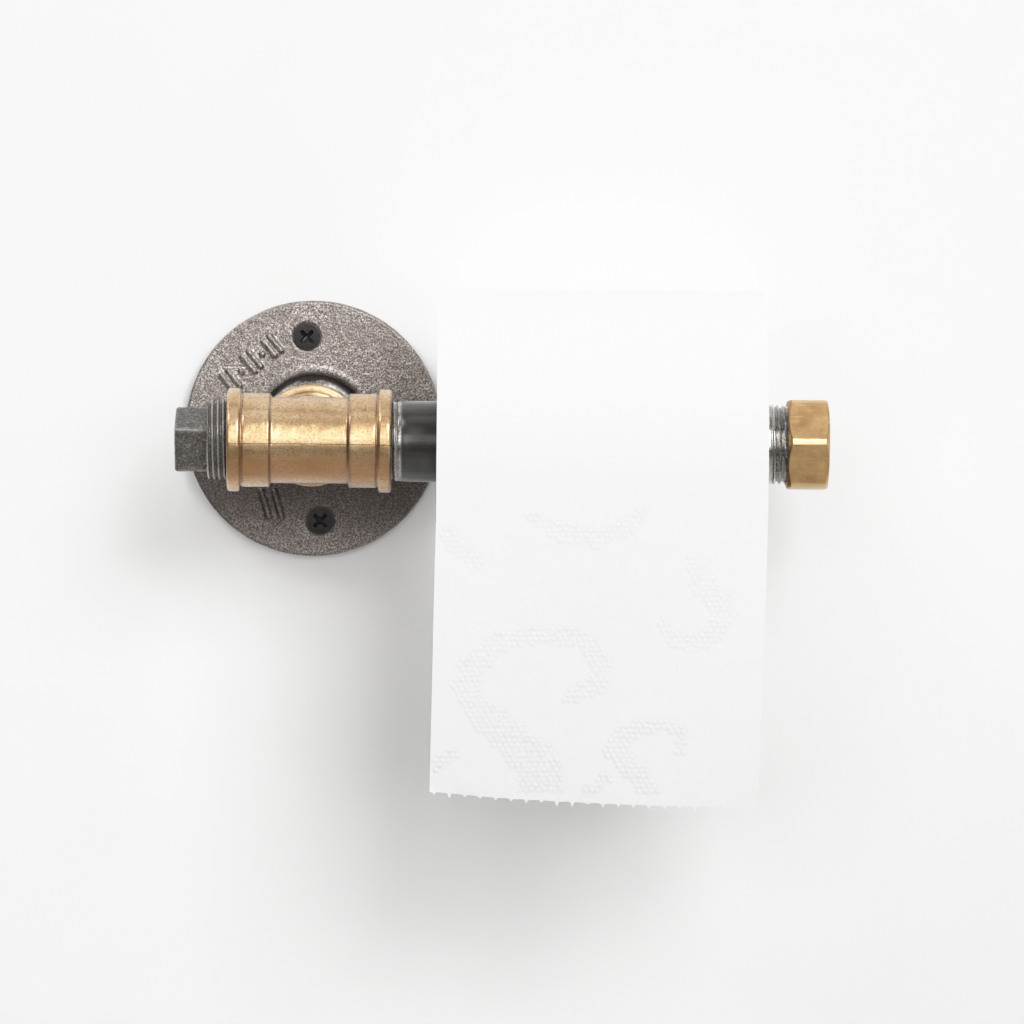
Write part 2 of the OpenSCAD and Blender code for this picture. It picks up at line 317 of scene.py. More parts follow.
def carved(name, field, low, high, step, tint=None, rough=None, sharp=180):
    """The surface where field(points) is zero, as a mesh with one point in each cell it crosses."""
    axes = [np.arange(l - 2 * step, h + 3 * step, step) for l, h in zip(low, high)]
    grid = np.stack(np.meshgrid(*axes, indexing="ij"), -1)
    value = field(grid.reshape(-1, 3)).reshape(grid.shape[:3])
    inside = value < 0
    corners = [(x, y, z) for x in (0, 1) for y in (0, 1) for z in (0, 1)]
    count = sum(
        inside[x:inside.shape[0] - 1 + x, y:inside.shape[1] - 1 + y, z:inside.shape[2] - 1 + z]
        .astype(np.int8)
        for x, y, z in corners
    )
    cell = np.argwhere((count > 0) & (count < 8))
    number = -np.ones(count.shape, np.int64)
    number[tuple(cell.T)] = np.arange(len(cell))
    at = [value[tuple((cell + c).T)] for c in corners]
    total, hits = np.zeros((len(cell), 3)), np.zeros(len(cell))
    for m, c in enumerate(corners):
        for n, d in enumerate(corners):
            if n <= m or sum(abs(p - q) for p, q in zip(c, d)) != 1:
                continue
            cross = (at[m] < 0) != (at[n] < 0)
            share = np.where(cross, at[m] / np.where(cross, at[m] - at[n], 1), 0)
            point = np.array(c) + share[:, None] * (np.array(d) - np.array(c))
            total += point * cross[:, None]
            hits += cross
    first = np.array([a[0] for a in axes])
    points = first + (cell + total / hits[:, None]) * step
    for _ in range(4):
        gradient = slope(field, points)
        length = np.maximum(np.linalg.norm(gradient, axis=1, keepdims=True), 0.2)
        move = field(points)[:, None] * gradient / length ** 2
        size = np.maximum(np.linalg.norm(move, axis=1, keepdims=True), 1e-12)
        points = points - move * np.minimum(1, 0.4 * step / size)
    faces = []
    for axis in range(3):
        one, two = [k for k in range(3) if k != axis]
        ahead = np.roll(inside, -1, axis)
        edge = np.argwhere(inside != ahead)
        keep = (edge[:, one] > 0) & (edge[:, two] > 0) & (edge[:, axis] < inside.shape[axis] - 1)
        edge = edge[keep]
        solid = inside[tuple(edge.T)]
        step_one, step_two = np.eye(3, dtype=int)[one], np.eye(3, dtype=int)[two]
        quad = np.stack([
            number[tuple((edge - a * step_one - b * step_two).T)]
            for a, b in ((1, 1), (0, 1), (0, 0), (1, 0))
        ], -1)
        turn_back = solid if axis == 1 else ~solid
        quad[turn_back] = quad[turn_back][:, ::-1]
        faces += quad.tolist()
    if rough is not None:
        normal = slope(field, points)
        normal /= np.maximum(np.linalg.norm(normal, axis=1, keepdims=True), 1e-9)
        points = points + normal * rough(points)[:, None]
    return new_mesh(name, points, faces, None if tint is None else tint(points), sharp)


def slope(field, points, reach=0.02*MM):
    """Gradient of a distance field by central differences."""
    steps = np.eye(3) * reach
    return np.stack([(field(points + s) - field(points - s)) / (2 * reach) for s in steps], -1)


def bar(along, across, low, high, radius, edge):
    """Distance to a round bar between two places on its axis, with rounded edges."""
    a = np.abs(along - (low + high) / 2) - (high - low) / 2 + edge
    r = across - radius + edge
    return np.hypot(np.maximum(a, 0), np.maximum(r, 0)) + np.minimum(np.maximum(a, r), 0) - edge


def filleted(a, b, radius):
    """Union of two distances with a round fillet in the corner."""
    corner = np.hypot(np.maximum(radius - a, 0), np.maximum(radius - b, 0))
    return np.maximum(radius, np.minimum(a, b)) - corner


def shell(name, front, back, tint=None, sharp=70):
    """A thin closed sheet between two grids of points, rows by columns."""
    rows, columns = front.shape[:2]
    points = np.concatenate([front.reshape(-1, 3), back.reshape(-1, 3)])
    number = np.arange(rows * columns).reshape(rows, columns)
    other = number + rows * columns

    def strip(a, b, c, d):
        return np.stack([a, b, c, d], -1).reshape(-1, 4).tolist()

    faces = strip(number[:-1, :-1], number[1:, :-1], number[1:, 1:], number[:-1, 1:])
    faces += strip(other[:-1, :-1], other[:-1, 1:], other[1:, 1:], other[1:, :-1])
    rim = np.concatenate([
        np.stack([number[0], other[0]], -1)[:-1],
        np.stack([number[:, -1], other[:, -1]], -1)[:-1],
        np.stack([number[-1], other[-1]], -1)[::-1][:-1],
        np.stack([number[:, 0], other[:, 0]], -1)[::-1],
    ])
    faces += strip(rim[:-1, 0], rim[1:, 0], rim[1:, 1], rim[:-1, 1])
    values = None if tint is None else np.concatenate([tint.ravel(), tint.ravel()])
    return new_mesh(name, points, faces, values, sharp)


# ---- materials

def linear(colour):
    """A colour given as 0 to 255 on screen, as linear light with full opacity."""
    parts = [c / 255 for c in colour]
    return [c / 12.92 if c <= 0.04045 else ((c + 0.055) / 1.055) ** 2.4 for c in parts] + [1]


class Look:
    """A procedural material on the Principled shader, with patterns in the object's own place."""

    def __init__(self, name, **sockets):
        self.material = bpy.data.materials.new(name)
        self.material.use_nodes = True
        self.tree = self.material.node_tree
        self.shader = self.tree.nodes["Principled BSDF"]
        for socket, value in sockets.items():
            self.shader.inputs[socket.replace("_", " ")].default_value = value
        self.place = self.node("ShaderNodeTexCoord").outputs["Object"]
        self.normal = None

    def node(self, kind, values=None, **settings):
        made = self.tree.nodes.new(kind)
        for key, value in settings.items():
            setattr(made, key, value)
        for key, value in (values or {}).items():
            if isinstance(value, bpy.types.NodeSocket):
                self.tree.links.new(value, made.inputs[key])
            else:
                made.inputs[key].default_value = value
        return made

    def scaled(self, x, y, z):
        """The place with each direction scaled, for streaks and brushed lines."""
        return self.node("ShaderNodeMapping", {"Vector": self.place, "Scale": (x, y, z)}).outputs[0]

    def noise(self, size, detail=3.0, roughness=0.55, place=None, distortion=0.0):
        return self.node("ShaderNodeTexNoise", {
            "Vector": place or self.place, "Scale": 1 / size, "Detail": detail,
            "Roughness": roughness, "Distortion": distortion}).outputs[0]

    def cells(self, size):
        values = {"Vector": self.place, "Scale": 1 / size}
        return self.node("ShaderNodeTexVoronoi", values).outputs["Distance"]

    def tint(self):
        return self.node("ShaderNodeAttribute", attribute_name="tint").outputs["Fac"]

    def height(self):
        return self.node("ShaderNodeSeparateXYZ", {"Vector": self.place}).outputs["Z"]

    def maths(self, operation, *values):
        return self.node("ShaderNodeMath", dict(enumerate(values)), operation=operation).outputs[0]

    def span(self, value, low, high, to_low=0.0, to_high=1.0):
        return self.node("ShaderNodeMapRange", {
            "Value": value, "From Min": low, "From Max": high, "To Min": to_low,
            "To Max": to_high}, interpolation_type="SMOOTHSTEP").outputs[0]

    def rough(self, pattern, dull, bright):
        return self.span(pattern, 0.3, 0.7, dull, bright)

    def ramp(self, value, *stops):
        made = self.node("ShaderNodeValToRGB", {"Fac": value})
        elements = made.color_ramp.elements
        while len(elements) < len(stops):
            elements.new(0.5)
        for element, (at, colour) in zip(elements, stops):
            element.position = at
            element.color = linear(colour)
        return made.outputs[0]

    def mix(self, share, colour, other):
        """A socket's colour turned towards another one, which may be given as on screen."""
        other = linear(other) if isinstance(other, tuple) else other
        return self.node("ShaderNodeMix", {0: share, 6: colour, 7: other}, data_type="RGBA").outputs[2]

    def bump(self, height, deep, strength=1.0):
        values = {"Height": height, "Distance": deep, "Strength": strength}
        if self.normal:
            values["Normal"] = self.normal
        self.normal = self.node("ShaderNodeBump", values).outputs[0]

    def done(self, colour, roughness=None, metallic=None):
        """Links the pattern of each socket that has one, and gives the material."""
        sockets = ("Base Color", "Roughness", "Metallic", "Normal")
        for socket, pattern in zip(sockets, (colour, roughness, metallic, self.normal)):
            if pattern:
                self.tree.links.new(pattern, self.shader.inputs[socket])
        return self.material


def cast_iron_look():
    """Grey iron with a sandy grain and painted glints, and painted shade that darkens it below; tint shows
    bare metal, or painted shade if negative.
    """
    look = Look("cast_iron", Metallic=0.9)
    sand = look.noise(0.6*MM, 3.0, 0.7)
    glint_cells = look.cells(0.8*MM)
    cloud = look.noise(14*MM, 3.0)
    # sandy grain; its palest specks are partly painted glints
    colour = look.ramp(sand, (0.35, (92, 85, 82)), (0.5, (138, 129, 125)), (0.62, (198, 191, 185)))
    # painted glints: near-white specks in the colour, on small cells
    colour = look.mix(look.maths("MULTIPLY", look.span(glint_cells, 0.30, 0.10), 0.6), colour, (240, 235, 230))
    colour = look.mix(look.span(cloud, 0.4, 0.65, 0.0, 0.3), colour, (128, 120, 116))
    # painted shade: darker below the tee, most from about 14 to 26 mm below the axis and less towards the
    # bottom rim
    below = look.span(look.height(), 4*MM, -14*MM, 0.0, 0.7)
    painted_shade_below = look.maths("MULTIPLY", below, look.span(look.height(), -46*MM, -26*MM, 0.35, 1.0))
    colour = look.mix(painted_shade_below, colour, (66, 58, 56))
    # painted shade: negative tint darkens the fillet round the hub's foot
    colour = look.mix(look.span(look.tint(), -0.1, -1.0), colour, (40, 35, 33))
    bare = look.ramp(look.noise(0.8*MM), (0.35, (150, 147, 142)), (0.6, (226, 224, 220)))
    colour = look.mix(look.span(look.tint(), 0.0, 1.0), colour, bare)
    look.bump(sand, 0.13*MM)
    look.bump(glint_cells, 0.10*MM, 0.6)
    return look.done(colour, look.rough(sand, 0.5, 0.36))


def bronze_look():
    """Sand-cast bronze, with painted shade that makes it browner and darker below its wavering mould line;
    tint shows patina in the grooves.
    """
    look = Look("cast_bronze", Metallic=0.92, Coat_Weight=0.9, Coat_Roughness=0.2)
    sand = look.noise(0.7*MM, 4.0, 0.65)
    pits = look.cells(1.3*MM)
    cloud = look.noise(9*MM, 4.0)
    colour = look.ramp(cloud, (0.30, (190, 156, 112)), (0.55, (211, 181, 138)), (0.8, (226, 203, 163)))
    # painted shade: browner and darker below the mould line, less near the bottom
    below = look.span(look.height(), -0.6*MM, -7*MM, 0.0, 0.78)
    painted_shade_below_mould_line = look.maths("MULTIPLY", below, look.span(look.height(), -15.5*MM, -10*MM, 0.2, 1.0))
    colour = look.mix(painted_shade_below_mould_line, colour, (150, 101, 52))
    colour = look.mix(look.span(sand, 0.54, 0.36, 0.0, 0.6), colour, (150, 104, 64))
    colour = look.mix(look.span(pits, 0.18, 0.05, 0.0, 0.6), colour, (116, 78, 44))
    colour = look.mix(look.tint(), colour, (98, 60, 30))
    waver = look.maths("MULTIPLY_ADD", look.noise(4*MM, 2.0), 0.3*MM, -0.45*MM)
    off_line = look.maths("ABSOLUTE", look.maths("SUBTRACT", look.height(), waver))
    broken = look.span(look.noise(2.2*MM, 2.0), 0.3, 0.5, 0.35, 0.85)
    line = look.maths("MULTIPLY", look.span(off_line, 0.22*MM, 0.05*MM), broken)
    colour = look.mix(line, colour, (84, 54, 30))
    look.bump(sand, 0.06*MM)
    look.bump(look.maths("SUBTRACT", 1.0, line), 0.05*MM)
    return look.done(colour, look.rough(sand, 0.40, 0.27))


def black_iron_look():
    """Dark cast plug with a grainy skin and worn edges; tint shows bare metal."""
    look = Look("black_iron", Metallic=0.65)
    sand = look.noise(0.8*MM, 3.0, 0.7)
    colour = look.ramp(sand, (0.35, (62, 58, 56)), (0.55, (104, 99, 95)), (0.7, (160, 154, 149)))
    steel = look.ramp(look.noise(0.5*MM), (0.35, (150, 147, 143)), (0.65, (214, 212, 208)))
    colour = look.mix(look.tint(), colour, steel)
    look.bump(sand, 0.12*MM)
    return look.done(colour, look.rough(sand, 0.5, 0.36))


def black_pipe_look():
    """Lacquered black pipe with a faint drawn grain; tint shows the cut threads."""
    look = Look("black_pipe", Coat_Weight=0.7, Coat_Roughness=0.22)
    drawn = look.noise(1.0*MM, 4.0, 0.6, look.scaled(0.05, 1.0, 1.0))
    cloud = look.noise(7*MM, 3.0)
    colour = look.ramp(drawn, (0.3, (36, 34, 33)), (0.7, (58, 55, 53)))
    colour = look.mix(look.span(cloud, 0.45, 0.75, 0.0, 0.5), colour, (70, 66, 63))
    steel = look.ramp(look.noise(0.6*MM), (0.3, (168, 165, 162)), (0.65, (214, 212, 209)))
    bare = look.tint()
    colour = look.mix(bare, colour, steel)
    look.bump(drawn, 0.012*MM)
    look.bump(cloud, 0.04*MM, 0.4)
    polish = look.span(bare, 0.2, 0.8, 1.0, 0.7)
    roughness = look.maths("MULTIPLY", look.rough(drawn, 0.42, 0.3), polish)
    return look.done(colour, roughness, look.span(bare, 0.0, 0.6, 0.3, 1.0))


def noisy_look(name, size, low, high, deep, dull, bright, worn=None, drawn=False, **sockets):
    """One noise colours, bumps and roughens this look. Tint shows the colour called worn."""
    look = Look(name, **sockets)
    lines = (4.0, 0.6, look.scaled(1.0, 0.06, 1.0)) if drawn else ()
    grit = look.noise(size, *lines)
    colour = look.ramp(grit, low, high)
    if worn:
        colour = look.mix(look.tint(), colour, worn)
    look.bump(grit, deep)
    return look.done(colour, look.rough(grit, dull, bright))


def nipple_look():
    """Grey steel, whose thread has bright crests."""
    return noisy_look("nipple_steel", 0.8*MM, (0.3, (70, 68, 67)), (0.7, (118, 115, 112)),
                      0.03*MM, 0.45, 0.32, (205, 203, 199), drawn=True, Metallic=0.9)


def black_screw_look():
    """Black phosphated steel with a slight bare shine on its raised edges."""
    return noisy_look("black_screw", 0.35*MM, (0.35, (22, 21, 21)), (0.65, (46, 44, 43)),
                      0.03*MM, 0.45, 0.33, (98, 95, 92), Metallic=0.4)


def rubber_look():
    """Dark sealing washer with a fine cut grain."""
    return noisy_look("rubber_washer", 0.4*MM, (0.3, (38, 36, 35)), (0.7, (62, 59, 57)),
                      0.04*MM, 0.75, 0.6)


def brass_look():
    """Dull turned brass with fine scratches and darker freckles; tint shows the cut thread."""
    look = Look("dull_brass", Metallic=0.92)
    lines = look.noise(0.9*MM, 5.0, 0.65, look.scaled(0.08, 1.0, 1.0))
    cloud = look.noise(6*MM, 4.0)
    freckle = look.cells(1.7*MM)
    colour = look.ramp(cloud, (0.3, (170, 134, 92)), (0.55, (192, 156, 110)), (0.78, (206, 172, 128)))
    colour = look.mix(look.span(freckle, 0.18, 0.06, 0.0, 0.55), colour, (110, 78, 46))
    colour = look.mix(look.span(lines, 0.58, 0.72, 0.0, 0.5), colour, (222, 192, 148))
    colour = look.mix(look.tint(), colour, (232, 206, 158))
    look.bump(lines, 0.03*MM)
    look.bump(cloud, 0.06*MM, 0.4)
    return look.done(colour, look.rough(lines, 0.38, 0.26))


def board_look():
    """Grey-brown board with short fibres; tint shows the seam of the winding."""
    look = Look("core_board")
    fibre = look.noise(1.4*MM, 5.0, 0.7, look.scaled(0.35, 1.0, 1.0), 0.6)
    fleck = look.cells(1.1*MM)
    colour = look.ramp(fibre, (0.3, (158, 138, 112)), (0.55, (182, 163, 137)), (0.75, (200, 184, 160)))
    colour = look.mix(look.span(fleck, 0.14, 0.05, 0.0, 0.6), colour, (112, 94, 74))
    colour = look.mix(look.tint(), colour, (126, 108, 86))
    look.bump(fibre, 0.06*MM)
    return look.done(colour, look.rough(fibre, 0.95, 0.82))


def tissue_look():
    """Soft white paper with a felt of fine fibres; tint is painted shade in the gaps between wound layers
    and in rings round the embossed dots.
    """
    look = Look("tissue_paper", Roughness=0.92, Subsurface_Weight=0.12, Sheen_Weight=0.15)
    look.shader.inputs["Subsurface Radius"].default_value = (1.2*MM, 1.1*MM, 1.0*MM)
    look.shader.inputs["Subsurface Scale"].default_value = 1.0
    felt = look.noise(0.5*MM, 4.0, 0.65)
    crepe = look.noise(1.1*MM, 3.0, 0.5, look.scaled(0.4, 1.0, 1.6))
    cloud = look.noise(22*MM, 2.0)
    colour = look.ramp(felt, (0.25, (236, 236, 236)), (0.6, (246, 246, 246)))
    colour = look.mix(look.span(cloud, 0.4, 0.7, 0.0, 0.5), colour, (242, 243, 244))
    colour = look.mix(look.tint(), colour, (198, 197, 196))
    look.bump(felt, 0.05*MM)
    look.bump(crepe, 0.06*MM, 0.7)
    return look.done(colour)


# ---- pieces

def dress(made, look, node, body=None):
    """Gives a piece its material and slot, hides the CAD node it stands for, and rides it."""
    made.data.materials.append(look)
    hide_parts(node)
    if body:
        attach(made, body)
    return made


def cut_thread(along, radius, turn, share):
    """Cuts the pipe thread into a turned surface, share is 0 where there is none."""
    crest = ridge(along, turn)
    limit = THREAD_R - THREAD_DEEP * (1 - crest)
    return np.minimum(radius, radius * (1 - share) + limit * share), crest


def screw_places():
    for k in range(SCREW_COUNT):
        angle = math.pi / 2 - SCREW_TURN - TAU * k / SCREW_COUNT
        yield SCREW_CIRCLE_R * math.cos(angle), -SCREW_CIRCLE_R * math.sin(angle)


def flange_field(points):
    """Distance to the flange: plate, hub with its fillet, bore, countersunk holes and cast marks."""
    x, out, z = points[:, 0], -points[:, 1], points[:, 2]
    across = np.hypot(x, z)
    plate = bar(out, across, 0, FLANGE_T, FLANGE_R, 0.7*MM)
    taper = HUB_BASE_R - (HUB_BASE_R - HUB_R) * (out - FLANGE_T) / (HUB_H - FLANGE_T)
    hub = soft_max(soft_max(across - taper, out - HUB_H, 0.7*MM), FLANGE_T / 2 - out, 0.1*MM)
    solid = filleted(plate, hub, HUB_FILLET)
    for x0, z0, x1, z1, radius in cast_marks():
        long_x, long_z = x1 - x0, z1 - z0
        share = ((x - x0) * long_x + (z - z0) * long_z) / max(long_x ** 2 + long_z ** 2, 1e-12)
        share = np.clip(share, 0, 1)
        side = np.hypot(x - x0 - share * long_x, z - z0 - share * long_z)
        mark = np.hypot(side, (out - FLANGE_T) * 1.2) - radius
        solid = soft_min(solid, mark, 0.5*MM)
    mouth = across - BORE_R - np.maximum(out - HUB_H + 1.1*MM, 0)
    solid = soft_max(solid, -mouth, 0.25*MM)
    for hole_x, hole_z in screw_places():
        widen = np.maximum(out - FLANGE_T + SCREW_HOLE_R, 0)
        hole = np.hypot(x - hole_x, z - hole_z) - SCREW_HOLE_R - widen
        solid = soft_max(solid, -hole * np.where(widen > 0, 0.71, 1.0), 0.25*MM)
    return solid


def cast_marks():
    """Raised bars and pips as (x0, z0, x1, z1, radius), in place of the casting's lettering."""
    bars = ((-14.2, 28.2), (-21.2, 22.8), (-28.2, 16.2))
    pips = ((-17.6, 25.3), (-24.6, 19.4))
    lower_bars = (-17.5, -13.2)
    ahead, up, apart, half = np.array([0.77, 0.64]), np.array([-0.64, 0.77]), 1.35, 3.1
    for place in bars:
        for side in (-apart, apart):
            middle = np.array(place) + side * ahead
            yield (*(middle - half * up)*MM, *(middle + half * up)*MM, 0.9*MM)
    for x, z in pips:
        yield (x * MM, z * MM, x * MM, z * MM, 1.0*MM)
    for x in lower_bars:
        yield (x * MM, -21.5*MM, (x + 2.5)*MM, -30.0*MM, 1.0*MM)


def make_flange(look):
    def rough(points):
        cast = 0.07 * grain(points, 1.3*MM, 3) + 0.05 * grain(points, 3.1*MM, 5)
        back = smooth(-points[:, 1], 0.1*MM, 0.8*MM)
        return cast * back * MM

    def bare(points):
        """Bright metal on the hub's rim, the plate's edge and the marks, and painted shade round the hub's
        foot.
        """
        out, across = -points[:, 1], np.hypot(points[:, 0], points[:, 2])
        turn = np.arctan2(points[:, 2], points[:, 0])
        rim = smooth(out, HUB_H - 1.0*MM, HUB_H - 0.6*MM)
        rim = rim * smooth(across, BORE_R, BORE_R + 0.4*MM) * (0.8 + 0.3 * np.sin(58 * turn))
        # painted shade in the fillet round the hub's foot, given as negative tint
        neck = np.exp(-np.maximum(across - HUB_BASE_R + 0.2*MM, 0) / (2.0*MM))
        neck = neck * (out > FLANGE_T - 0.2*MM) * (across > BORE_R + 0.5*MM)
        neck = neck * smooth(HUB_H - 1.3*MM - out, 0, 2.5*MM)
        marked = smooth(out, FLANGE_T + 0.25*MM, FLANGE_T + 0.6*MM)
        marked = marked * (across > HUB_BASE_R + 3.8*MM)
        worn = smooth(across, FLANGE_R - 1.0*MM, FLANGE_R - 0.3*MM) * smooth(out, 4.4*MM, 5.1*MM)
        chips = 0.6 + 0.4 * grain(points, 1.6*MM, 9)
        return np.clip(rim * chips * 1.2 + 0.25 * worn + 0.15 * marked, 0, 1) - 0.9 * neck

    made = carved("flange_casting", flange_field, flange_low, flange_high, 0.5*MM, bare, rough)
    return dress(made, look, "wall_flange", "wall_bracket")


def make_screws(look):
    tip = FLANGE_T - SCREW_L
    side = outline([
        (FLANGE_T, SCREW_HEAD_R - 0.15*MM), (FLANGE_T - 0.15*MM, SCREW_HEAD_R),
        (FLANGE_T - SCREW_HEAD_R + SCREW_NECK_R, SCREW_NECK_R), (0.3*MM, SCREW_NECK_R),
        (-0.1*MM, SCREW_THREAD_R - 0.2*MM), (tip + 4.8*MM, SCREW_THREAD_R),
        (tip + 0.05*MM, 0.12*MM)], 0.22*MM)
    face = run((FLANGE_T, 0.12*MM), (FLANGE_T, SCREW_HEAD_R - 0.25*MM), 26)
    rings = np.concatenate([face, side])

    def shape(along, radius, turn):
        x, y = radius * np.cos(turn + TAU / 8), radius * np.sin(turn + TAU / 8)
        head = along > FLANGE_T - 0.01*MM
        reach, narrow = np.maximum(np.abs(x), np.abs(y)), np.minimum(np.abs(x), np.abs(y))
        half_width = (0.62 - 0.07 * reach / MM)*MM
        arm = smooth(half_width - narrow, -0.08*MM, 0.10*MM)
        arm = arm * smooth(RECESS_R - reach, -0.1*MM, 0.25*MM)
        deep = np.maximum(RECESS_DEEP * (1 - 0.5 * reach / RECESS_R), 0.4*MM)
        dome = 0.12*MM * (radius / SCREW_HEAD_R) ** 2
        crest = ridge(along, turn, SCREW_LEAD, 0.0) ** 1.6
        fade = smooth(-along, 0, SCREW_LEAD) * smooth(along, tip, tip + 3*MM) * (along < 0)
        cut = radius - 0.75*MM * (1 - crest) * fade
        edge = smooth(radius, SCREW_HEAD_R - 0.5*MM, SCREW_HEAD_R) * (along > FLANGE_T - 0.3*MM)
        lowered = along - np.where(head, arm * deep + dome, 0)
        return lowered, np.maximum(cut, 0.1*MM), 0.35 * edge + 0.3 * crest * fade

    for k, (x, z) in enumerate(screw_places()):
        made = turned(f"screw_{k + 1}", rings, out_of_wall(x, z), 56, shape, start=0.4 * k, sharp=60)
        dress(made, look, "wall_screws", "wall_bracket")


def make_nipple(look):
    low, high = -nipple_high.y, -nipple_low.y
    rings = outline([
        (low, PASSAGE_R, 0.3*MM), (low, THREAD_R - 0.9*MM), (low + 0.9*MM, THREAD_R),
        (high - 0.9*MM, THREAD_R), (high, THREAD_R - 0.9*MM), (high, PASSAGE_R, 0.3*MM)],
        0.22*MM, loop=True)
    rings[:, 1] += (PIPE_R - THREAD_R) * (rings[:, 1] > THREAD_R - 0.01*MM)

    def shape(along, radius, turn):
        inside = radius < PASSAGE_R + 0.6*MM
        from_end = np.minimum(along - low, high - along)
        share = 1 - smooth(from_end, THREAD_L - 2.2 * PITCH, THREAD_L)
        cut, crest = cut_thread(along, radius, turn, share)
        worn = 0.7 * smooth(crest, 0.55, 1.0) * share
        return along, np.where(inside, radius, cut), np.where(inside, 0, worn)

    made = turned("steel_nipple", rings, out_of_wall(), 112, shape, loop=True)
    return dress(made, look, "branch_nipple", "wall_bracket")


def tee_field(points):
    """Distance to the tee: three sockets with beads on a smaller body, with plain bores and passages."""
    x, y, z = points[:, 0], points[:, 1] - AXIS_Y, points[:, 2]
    along, run_out, out = np.abs(x), np.hypot(y, z), np.hypot(x, z)
    edge = 0.8*MM
    socket_to = TEE_HALF - BEAD_W
    body = bar(x, run_out, -SOCKET_FROM - MM, SOCKET_FROM + MM, BODY_R, edge)
    branch = bar(y, out, 0, SOCKET_FROM + MM, BODY_R - BRANCH_LESS, edge)
    solid = filleted(body, branch, 2.2*MM)
    for reach, across in ((along, run_out), (y, out)):
        socket = bar(reach, across, SOCKET_FROM - 0.5*MM, socket_to + MM, SOCKET_R, edge)
        solid = filleted(solid, socket, 0.5*MM)
        groove = np.hypot(reach - socket_to + 0.35*MM, across - SOCKET_R - 0.1*MM) - 0.42*MM
        bead = bar(reach, across, socket_to, TEE_HALF, BEAD_R, 0.9*MM)
        solid = soft_max(filleted(solid, bead, 0.25*MM), -groove, 0.3*MM)
    for reach, across, passage in ((along, run_out, PASSAGE_R), (y, out, PASSAGE_R - BRANCH_LESS)):
        deep = TEE_HALF - SOCKET_DEEP
        mouth = np.maximum(reach - TEE_HALF + 0.9*MM, 0)
        bore = soft_max(across - BORE_R - mouth, deep - reach, 0.3*MM)
        hole = soft_max(across - passage, -reach, 0.3*MM)
        solid = soft_max(solid, -np.minimum(bore, hole), 0.3*MM)
    return solid


def make_tee(look):
    def rough(points):
        cast = 0.03 * grain(points, 1.1*MM, 11) + 0.025 * grain(points, 4.0*MM, 13)
        seam = 0.02 * np.exp(-((points[:, 2] + 0.3*MM) / (0.5*MM)) ** 2)
        return (cast + seam)*MM

    def patina(points):
        x, y, z = points[:, 0], points[:, 1] - AXIS_Y, points[:, 2]
        total = np.zeros(len(points))
        run_out, branch_out = np.hypot(y, z), np.hypot(x, z)
        for reach, across, wide in ((-x, run_out, 0.40), (x, run_out, 0.75), (y, branch_out, 0.5)):
            outside = across > BODY_R - 0.6*MM
            shoulder = np.exp(-((reach - SOCKET_FROM + 0.25*MM) / (wide * MM)) ** 2)
            neck = np.exp(-((reach - TEE_HALF + BEAD_W + 0.45*MM) / (0.42*MM)) ** 2)
            total = np.maximum(total, outside * np.maximum(0.8 * shoulder, 0.75 * neck))
        streaks = 0.75 + 0.35 * grain(points, 2.4*MM, 17)
        return np.clip(total * streaks, 0, 1)

    made = carved("tee_casting", tee_field, tee_low, tee_high, 0.45*MM, patina, rough)
    return dress(made, look, "pipe_tee", "wall_bracket")


def polygon_radius(turn, flat_r, sides, corner_at, corner_r, rounding):
    """Radius of a regular polygon with rounded corners."""
    half = math.pi / sides
    off = (turn - corner_at) % (2 * half) - half
    return soft_min(flat_r / np.cos(off), np.full(turn.shape, corner_r), rounding)


def make_plug(look):
    """Square head, whose rings hold shares of the square's radius, and a threaded body."""
    flat_r, corner_at = PLUG_FLAT_R, PLUG_CORNER_AT
    corner_r = flat_r * math.sqrt(2) - 0.25*MM
    low, high, head_to = plug_low.x, plug_high.x, tee_low.x - PLUG_THREAD_SHOWN
    rim = np.linspace(0, 1, 7) * math.pi / 2
    head = np.concatenate([
        run((low, 0.04), (low, 0.88), 18),
        np.stack([low + 1.1*MM * (1 - np.cos(rim)), 0.90 + 0.10 * np.sin(rim)], -1),
        run((low + 1.1*MM, 1.0), (head_to, 1.0), 26)[1:]])
    body = outline([
        (head_to, THREAD_R - 1.3*MM), (head_to, THREAD_R - 0.7*MM), (head_to + 0.6*MM, THREAD_R),
        (high - 0.8*MM, THREAD_R), (high, THREAD_R - 0.8*MM), (high, 1.0*MM)], 0.18*MM)
    rings = np.concatenate([head, body])
    in_head = (np.arange(len(rings)) < len(head))[:, None]

    def shape(along, radius, turn):
        square = polygon_radius(turn, flat_r, 4, corner_at, corner_r, 0.6*MM)
        low_face = smooth(1 - radius, 0.1, 0.6) * 0.18*MM
        points = on_pipe_axis(along, square * np.cos(turn), square * np.sin(turn))
        lumps = 1 + 0.006 * grain(points, 2.2*MM, 21) + 0.003 * grain(points, 1.0*MM, 22)
        cut, crest = cut_thread(along, radius, turn, np.ones(along.shape))
        from_corner = np.abs((turn - corner_at + math.pi / 4) % (math.pi / 2) - math.pi / 4)
        worn = np.exp(-(from_corner / 0.07) ** 2) + np.exp(-((radius - 0.955) / 0.03) ** 2)
        chips = 0.35 + 0.35 * grain(points, 1.5*MM, 23)
        thread_tint = 0.15 + 0.75 * smooth(crest, 0.55, 1.0)
        return (
            np.where(in_head, along + low_face, along),
            np.where(in_head, radius * square * lumps, cut),
            np.where(in_head, np.clip(worn * chips, 0, 0.6), thread_tint),
        )

    made = turned("square_plug", rings, on_pipe_axis, 144, shape, start=corner_at, sharp=55)
    return dress(made, look, "end_plug", "wall_bracket")


